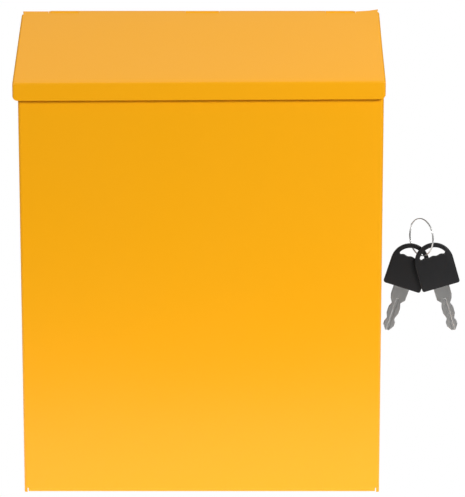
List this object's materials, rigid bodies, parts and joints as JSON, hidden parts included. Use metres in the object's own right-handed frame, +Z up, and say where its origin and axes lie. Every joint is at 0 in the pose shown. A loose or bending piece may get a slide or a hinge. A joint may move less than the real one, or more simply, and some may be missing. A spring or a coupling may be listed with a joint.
{
  "type": "wall mailbox",
  "caption": "Wall mailbox in yellow coated sheet steel with a sloped hinged rain lid, a letter slot under it, a bottom door with a cam lock, and keys on a split ring.",
  "frame": {"origin": "centre of the rectangle of four wall holes, on the outer face of the back panel", "axes": "+Y into the wall, out of the back panel; +Z up; +X to the right for someone facing the front"},
  "size_m": [0.3106, 0.0795, 0.3353],
  "materials": {
    "yellow_coat": "satin powder coat on steel sheet",
    "zinc_steel": "bright zinc plate",
    "nickel": "satin nickel plate",
    "brass": "turned brass",
    "black_plastic": "moulded, fine texture"
  },
  "bodies": {
    "housing": {"body_shell": "yellow_coat", "back_panel": "yellow_coat", "slot_plate": "yellow_coat", "lock_catch": "yellow_coat", "lid_hinge_rod": "zinc_steel", "door_hinge_rod": "zinc_steel"},
    "lid": {"lid": "yellow_coat"},
    "door": {"bottom_door": "yellow_coat", "lock_housing": "nickel", "lock_washer": "zinc_steel", "lock_nut": "zinc_steel"},
    "lock_barrel": {"lock_plug": "nickel", "lock_wafers": "brass", "wafer_springs": "zinc_steel", "stop_plate": "zinc_steel", "lock_cam": "zinc_steel", "spring_washer": "zinc_steel", "cam_screw": "zinc_steel"},
    "key_ring": {"key_ring": "nickel"},
    "key_a": {"key_a_blade": "nickel", "key_a_bow": "black_plastic"},
    "key_b": {"key_b_blade": "nickel", "key_b_bow": "black_plastic"}
  },
  "joints": [
    {"name": "lid_hinge", "type": "hinge", "parent": "housing", "child": "lid", "pos_m": [0, -0.0032, 0.16612], "axis": [-1, 0, 0], "range_deg": [0, 115]},
    {"name": "door_hinge", "type": "hinge", "parent": "housing", "child": "door", "pos_m": [0, -0.0032, -0.16265], "axis": [1, 0, 0], "range_deg": [0, 85]},
    {"name": "lock_turn", "type": "hinge", "parent": "door", "child": "lock_barrel", "pos_m": [0, -0.045, -0.165], "axis": [0, 0, -1], "range_deg": [0, 90]},
    {"name": "keys_set_aside", "type": "slide", "parent": "housing", "child": "key_ring", "axis": [1, 0, 0], "range_m": [0, 0.1]},
    {"name": "key_a_swing", "type": "hinge", "parent": "key_ring", "child": "key_a", "pos_m": [0.15368, -0.0433, -0.00134], "axis": [0, 1, 0], "range_deg": [-40, 4]},
    {"name": "key_b_swing", "type": "hinge", "parent": "key_ring", "child": "key_b", "pos_m": [0.15592, -0.0467, -0.00134], "axis": [0, 1, 0], "range_deg": [-30, 35]}
  ]
}
